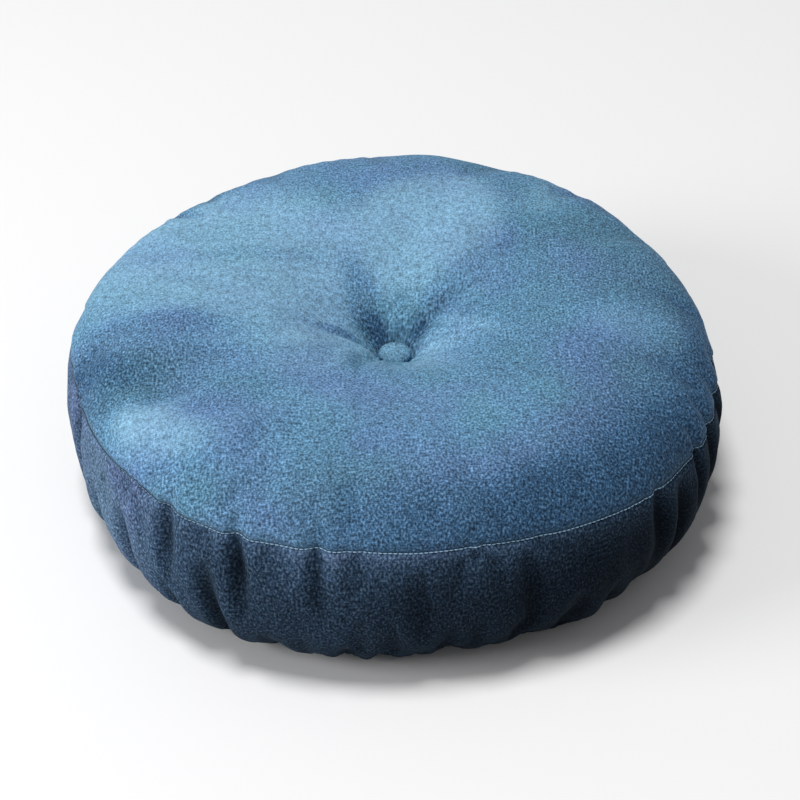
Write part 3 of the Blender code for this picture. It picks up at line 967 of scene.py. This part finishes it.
# The same chenille drawn tight over the button, with painted light that makes it evenly paler, and without
# soft patches
buttonPlush = {
    **panelPlush,
    "cloudContrast": 0.0,
}

# The button's dome, and the pleats of its cover, which start at a share of the radius. Their spacing wanders
# in waves: each row is how many round the button, how far they shift the pleats, and where they start.
button = {
    "radius": 0.0128,
    "height": 0.0085,
    "edgeHeight": 0.0034,
    "backRadius": 0.0110,
    "domeRings": 26,
    "domeFromDeg": 3.0,
    "backRings": 7,
    "columns": 120,
    "pleats": 17,
    "pleatMm": 0.35,
    "pleatFrom": 0.55,
    "pleatWander": [(2, 0.9, 0.7), (3, 0.5, 2.1)],
    # Painted light: how much paler the whole button is painted
    "paintedShading": 0.25,
}


def makeButton():
    # A dome over a round edge: radius * sin(turn) and edge + rise * cos(turn), with pleats that deepen
    # towards the back where the cover is drawn together
    floorLevel = topSurface(topShares[:1], angles)[0, :, 2].max() + cushion["gap"]
    around = evenAngles(button["columns"])
    turn = np.radians(np.linspace(button["domeFromDeg"], 90.0, button["domeRings"]))
    radius = button["radius"] * np.sin(turn)
    level = button["edgeHeight"] + (button["height"] - button["edgeHeight"]) * np.cos(turn)
    underTurn = np.linspace(0.0, 1.0, button["backRings"] + 1)[1:]
    underRadius = button["radius"] - (button["radius"] - button["backRadius"]) * underTurn ** 2
    underLevel = button["edgeHeight"] * (1.0 - underTurn)
    radius = np.concatenate([radius, underRadius])[:, None]
    level = np.concatenate([level, underLevel])[:, None]
    nearEdge = smoothRise((radius / button["radius"] - button["pleatFrom"]) / (1.0 - button["pleatFrom"]))
    phase = sum(size * np.sin(waves * around + shift) for waves, size, shift in button["pleatWander"])
    pleat = 0.001 * button["pleatMm"] * nearEdge * (np.cos(button["pleats"] * around + phase) - 1.0)
    grid = pointsAt(radius + pleat, around, level + floorLevel) + middle
    turned = np.append(around, 2.0 * math.pi)
    along = lengthAlong(radius[:, 0], level[:, 0])[:, None]
    flat = np.stack([along * np.cos(turned), along * np.sin(turned)], axis=-1)
    mesh = gridMesh("coveredButton", grid, flat, {"paintedShading": np.full(grid.shape[:2], button["paintedShading"])})
    plush = plushMaterial("brushedChenilleButton", buttonPlush)
    addPiece("coveredButton", mesh, plush, "tuft_button")


# Spun polyester sewing thread: smooth and tight, paler than the cloth, so the seam reads as a light line. It
# lies above the groove's bottom by a share of its depth. On the left its stitches are painted darker, a
# painted
# shade: how much, about which angle and over what half width.
stitch = {
    "colour": "#9dbfd8",
    "creviceColour": "#6a90b0",
    "fibreMm": 0.6,
    "roughness": 0.7,
    "pitchMm": 3.4,
    "lengthMm": 3.35,
    "thicknessMm": 0.95,
    "proudMm": 0.22,
    "grooveShare": 0.35,
    "rings": 7,
    "endShare": 0.03,
    "sides": 8,
    "linePoints": 6000,
    "tangentMm": 0.5,
    "coveredAtDeg": -172.0,
    "coveredHalfDeg": 56.0,
    "covered": -0.72,
}


def threadMaterial():
    material, tree, shader = newMaterial("spunPolyesterThread")
    place = addNode(tree, "ShaderNodeTexCoord").outputs["Object"]
    grain = {"Vector": place, "Scale": 1000.0 / stitch["fibreMm"], "Detail": 2.0}
    fibres = addNode(tree, "ShaderNodeTexNoise", grain).outputs["Fac"]
    blues = {"Factor": fibres, "A": srgb(stitch["creviceColour"]), "B": srgb(stitch["colour"])}
    shade = addNode(tree, "ShaderNodeMix", blues, data_type="RGBA").outputs["Result"]
    # Painted shade: the stitches' shading darkens their colour on the left
    paintedShading = addNode(tree, "ShaderNodeAttribute", attribute_name="paintedShading").outputs["Fac"]
    light = addNode(tree, "ShaderNodeMath", {0: paintedShading, 1: 1.0}, operation="ADD").outputs[0]
    colour = addNode(tree, "ShaderNodeVectorMath", {0: shade, "Scale": light}, operation="SCALE")
    tree.links.new(colour.outputs[0], shader.inputs["Base Color"])
    shader.inputs["Roughness"].default_value = stitch["roughness"]
    return material


def seamLine(count):
    # The middle of the top seam with the filling's moves, as count points and the first one again
    top = np.zeros(1)
    line = sideSurface(bandSection(top), top, sideAngles(count), top, top + cushion["bandLength"])
    line = (line + filledMove("band", top, count))[0]
    return np.concatenate([line, line[:1]])


def makeSeamThread():
    # Each stitch is a low arch along the seam: its line follows the seam's middle and rises by
    # proud * sin(pi t), with a thickness of sqrt(sin(pi t)). On the left the stitches are painted in shade,
    # darker by the painted shade's amount * exp(-(angle from its place / half)^4).
    line = seamLine(stitch["linePoints"])
    along = np.concatenate([[0.0], np.cumsum(np.linalg.norm(np.diff(line, axis=0), axis=1))])
    count = int(round(along[-1] / (0.001 * stitch["pitchMm"])))
    t = np.linspace(stitch["endShare"], 1.0 - stitch["endShare"], stitch["rings"])
    places = (np.arange(count)[:, None] + 0.5) * along[-1] / count + (t - 0.5) * 0.001 * stitch["lengthMm"]
    aheadPlaces = places + 0.001 * stitch["tangentMm"]
    centre = np.stack([np.interp(places, along, line[:, i]) for i in range(3)], axis=-1)
    ahead = np.stack([np.interp(aheadPlaces, along, line[:, i]) for i in range(3)], axis=-1)
    tangent = ahead - centre
    tangent /= np.linalg.norm(tangent, axis=-1, keepdims=True)
    outward = centre * np.array([1.0, 1.0, 0.0])
    outward /= np.linalg.norm(outward, axis=-1, keepdims=True)
    sideways = np.cross(tangent, outward)
    arch = np.sin(math.pi * t)[None, :, None]
    rise = 0.001 * stitch["proudMm"] * arch + seam["grooveDepth"] * stitch["grooveShare"]
    centre = centre + outward * rise
    around = evenAngles(stitch["sides"])
    cosine, sine = np.cos(around)[:, None], np.sin(around)[:, None]
    ring = cosine * outward[:, :, None, :] + sine * sideways[:, :, None, :]
    half = 0.0005 * stitch["thicknessMm"]
    grid = centre[:, :, None, :] + half * np.sqrt(arch)[..., None] * ring + middle

    # The rings of a stitch turn the other way round than a piece's, so its quads are turned over
    ringCount, sides = grid.shape[1:3]
    starts = np.arange(count)[:, None] * ringCount * sides
    quads = ringQuads(ringCount, sides)[:, [0, 3, 2, 1]]
    quads = (quads[None] + starts[:, :, None]).reshape(-1, 4)
    firstEnd = starts + np.arange(sides)[::-1]
    lastEnd = starts + (ringCount - 1) * sides + np.arange(sides)
    mesh = bpy.data.meshes.new("seamThread")
    mesh.from_pydata(grid.reshape(-1, 3).tolist(), [], quads.tolist() + firstEnd.tolist() + lastEnd.tolist())
    mesh.shade_smooth()

    degrees = np.degrees(np.arctan2(centre[..., 1], centre[..., 0]))
    away = (degrees - stitch["coveredAtDeg"] + 180.0) % 360.0 - 180.0
    paintedShading = stitch["covered"] * np.exp(-(away / stitch["coveredHalfDeg"]) ** 4)
    mesh.attributes.new("paintedShading", "FLOAT", "POINT").data.foreach_set("value", np.repeat(paintedShading.reshape(-1), sides))
    addPiece("seamThread", mesh, threadMaterial())


def plainMaterial(name, code, roughness):
    material, _, shader = newMaterial(name)
    shader.inputs["Base Color"].default_value = srgb(code)
    shader.inputs["Roughness"].default_value = roughness
    return material


# The photo's viewpoint: straight over the front, looking down, about 1.6 m away through a long lens
view = {
    "elevationDeg": 38.01,
    "distance": 1.6,
    "focalPx": 2065.0,
    "imagePx": 800.0,
    "sensorMm": 36.0,
    "target": (0.0053, -0.0031, 0.06),
}


def lookBack(item, way):
    # Turn it to look back along the way out to it
    item.rotation_mode = "QUATERNION"
    item.rotation_quaternion = (-way).to_track_quat("-Z", "Y")


def makeCamera():
    lens = bpy.data.cameras.new("camera")
    lens.sensor_width = view["sensorMm"]
    lens.lens = view["focalPx"] * view["sensorMm"] / view["imagePx"]
    camera = newObject("camera", lens)
    tilt = math.radians(view["elevationDeg"])
    back = Vector((0.0, -math.cos(tilt), math.sin(tilt)))
    camera.location = Vector(view["target"]) + view["distance"] * back
    lookBack(camera, back)
    bpy.context.scene.camera = camera


# A plain studio: a matte painted floor that takes a soft shadow, a high key light a little to the left, a
# weak low light from the left, and a pale sky
studio = {
    "floor": "#e9e9e9",
    "floorRoughness": 0.9,
    "floorRadius": 14.0,
    "floorLevel": -0.0004,
    "floorSides": 96,
    "keyFromDeg": 192,
    "keyUpDeg": 82,
    "keyDistance": 6.0,
    "keySize": 1.7,
    "keyWatts": 255.0,
    "sideFromDeg": 198,
    "sideUpDeg": 25,
    "sideDistance": 3.0,
    "sideSize": 1.4,
    "sideWatts": 46.0,
    "sky": "#f4f5f7",
    "skyStrength": 0.30,
}


def makeStudio():
    rim = pointsAt(studio["floorRadius"], evenAngles(studio["floorSides"]), studio["floorLevel"])
    mesh = bpy.data.meshes.new("paleFloor")
    mesh.from_pydata(rim.tolist(), [], [list(range(studio["floorSides"]))])
    mesh.materials.append(plainMaterial("mattePaintedFloor", studio["floor"], studio["floorRoughness"]))
    floor = newObject("paleFloor", mesh)

    for name in ("key", "side"):
        lamp = bpy.data.lights.new(name + "Light", "AREA")
        lamp.shape = "DISK"
        lamp.size = studio[name + "Size"]
        lamp.energy = studio[name + "Watts"]
        light = newObject(name + "Light", lamp)
        azimuth, up = math.radians(studio[name + "FromDeg"]), math.radians(studio[name + "UpDeg"])
        way = Vector((math.cos(azimuth) * math.cos(up), math.sin(azimuth) * math.cos(up), math.sin(up)))
        light.location = studio[name + "Distance"] * way
        lookBack(light, way)

    world = bpy.data.worlds.new("studioSky")
    world.use_nodes = True
    sky = world.node_tree.nodes["Background"]
    sky.inputs["Color"].default_value = srgb(studio["sky"])
    sky.inputs["Strength"].default_value = studio["skyStrength"]
    bpy.context.scene.world = world
    bpy.context.scene.view_settings.view_transform = "Standard"


makeCamera()
makeStudio()
print("camera, floor and light ready")
coverMoves = fillCover()
print("filling ready")
makeTopPanel()
print("top panel ready")
makeSideBand()
print("side band ready")
makeBottomPanel()
print("bottom panel ready")
makeButton()
makeSeamThread()
print("button and seam thread ready")
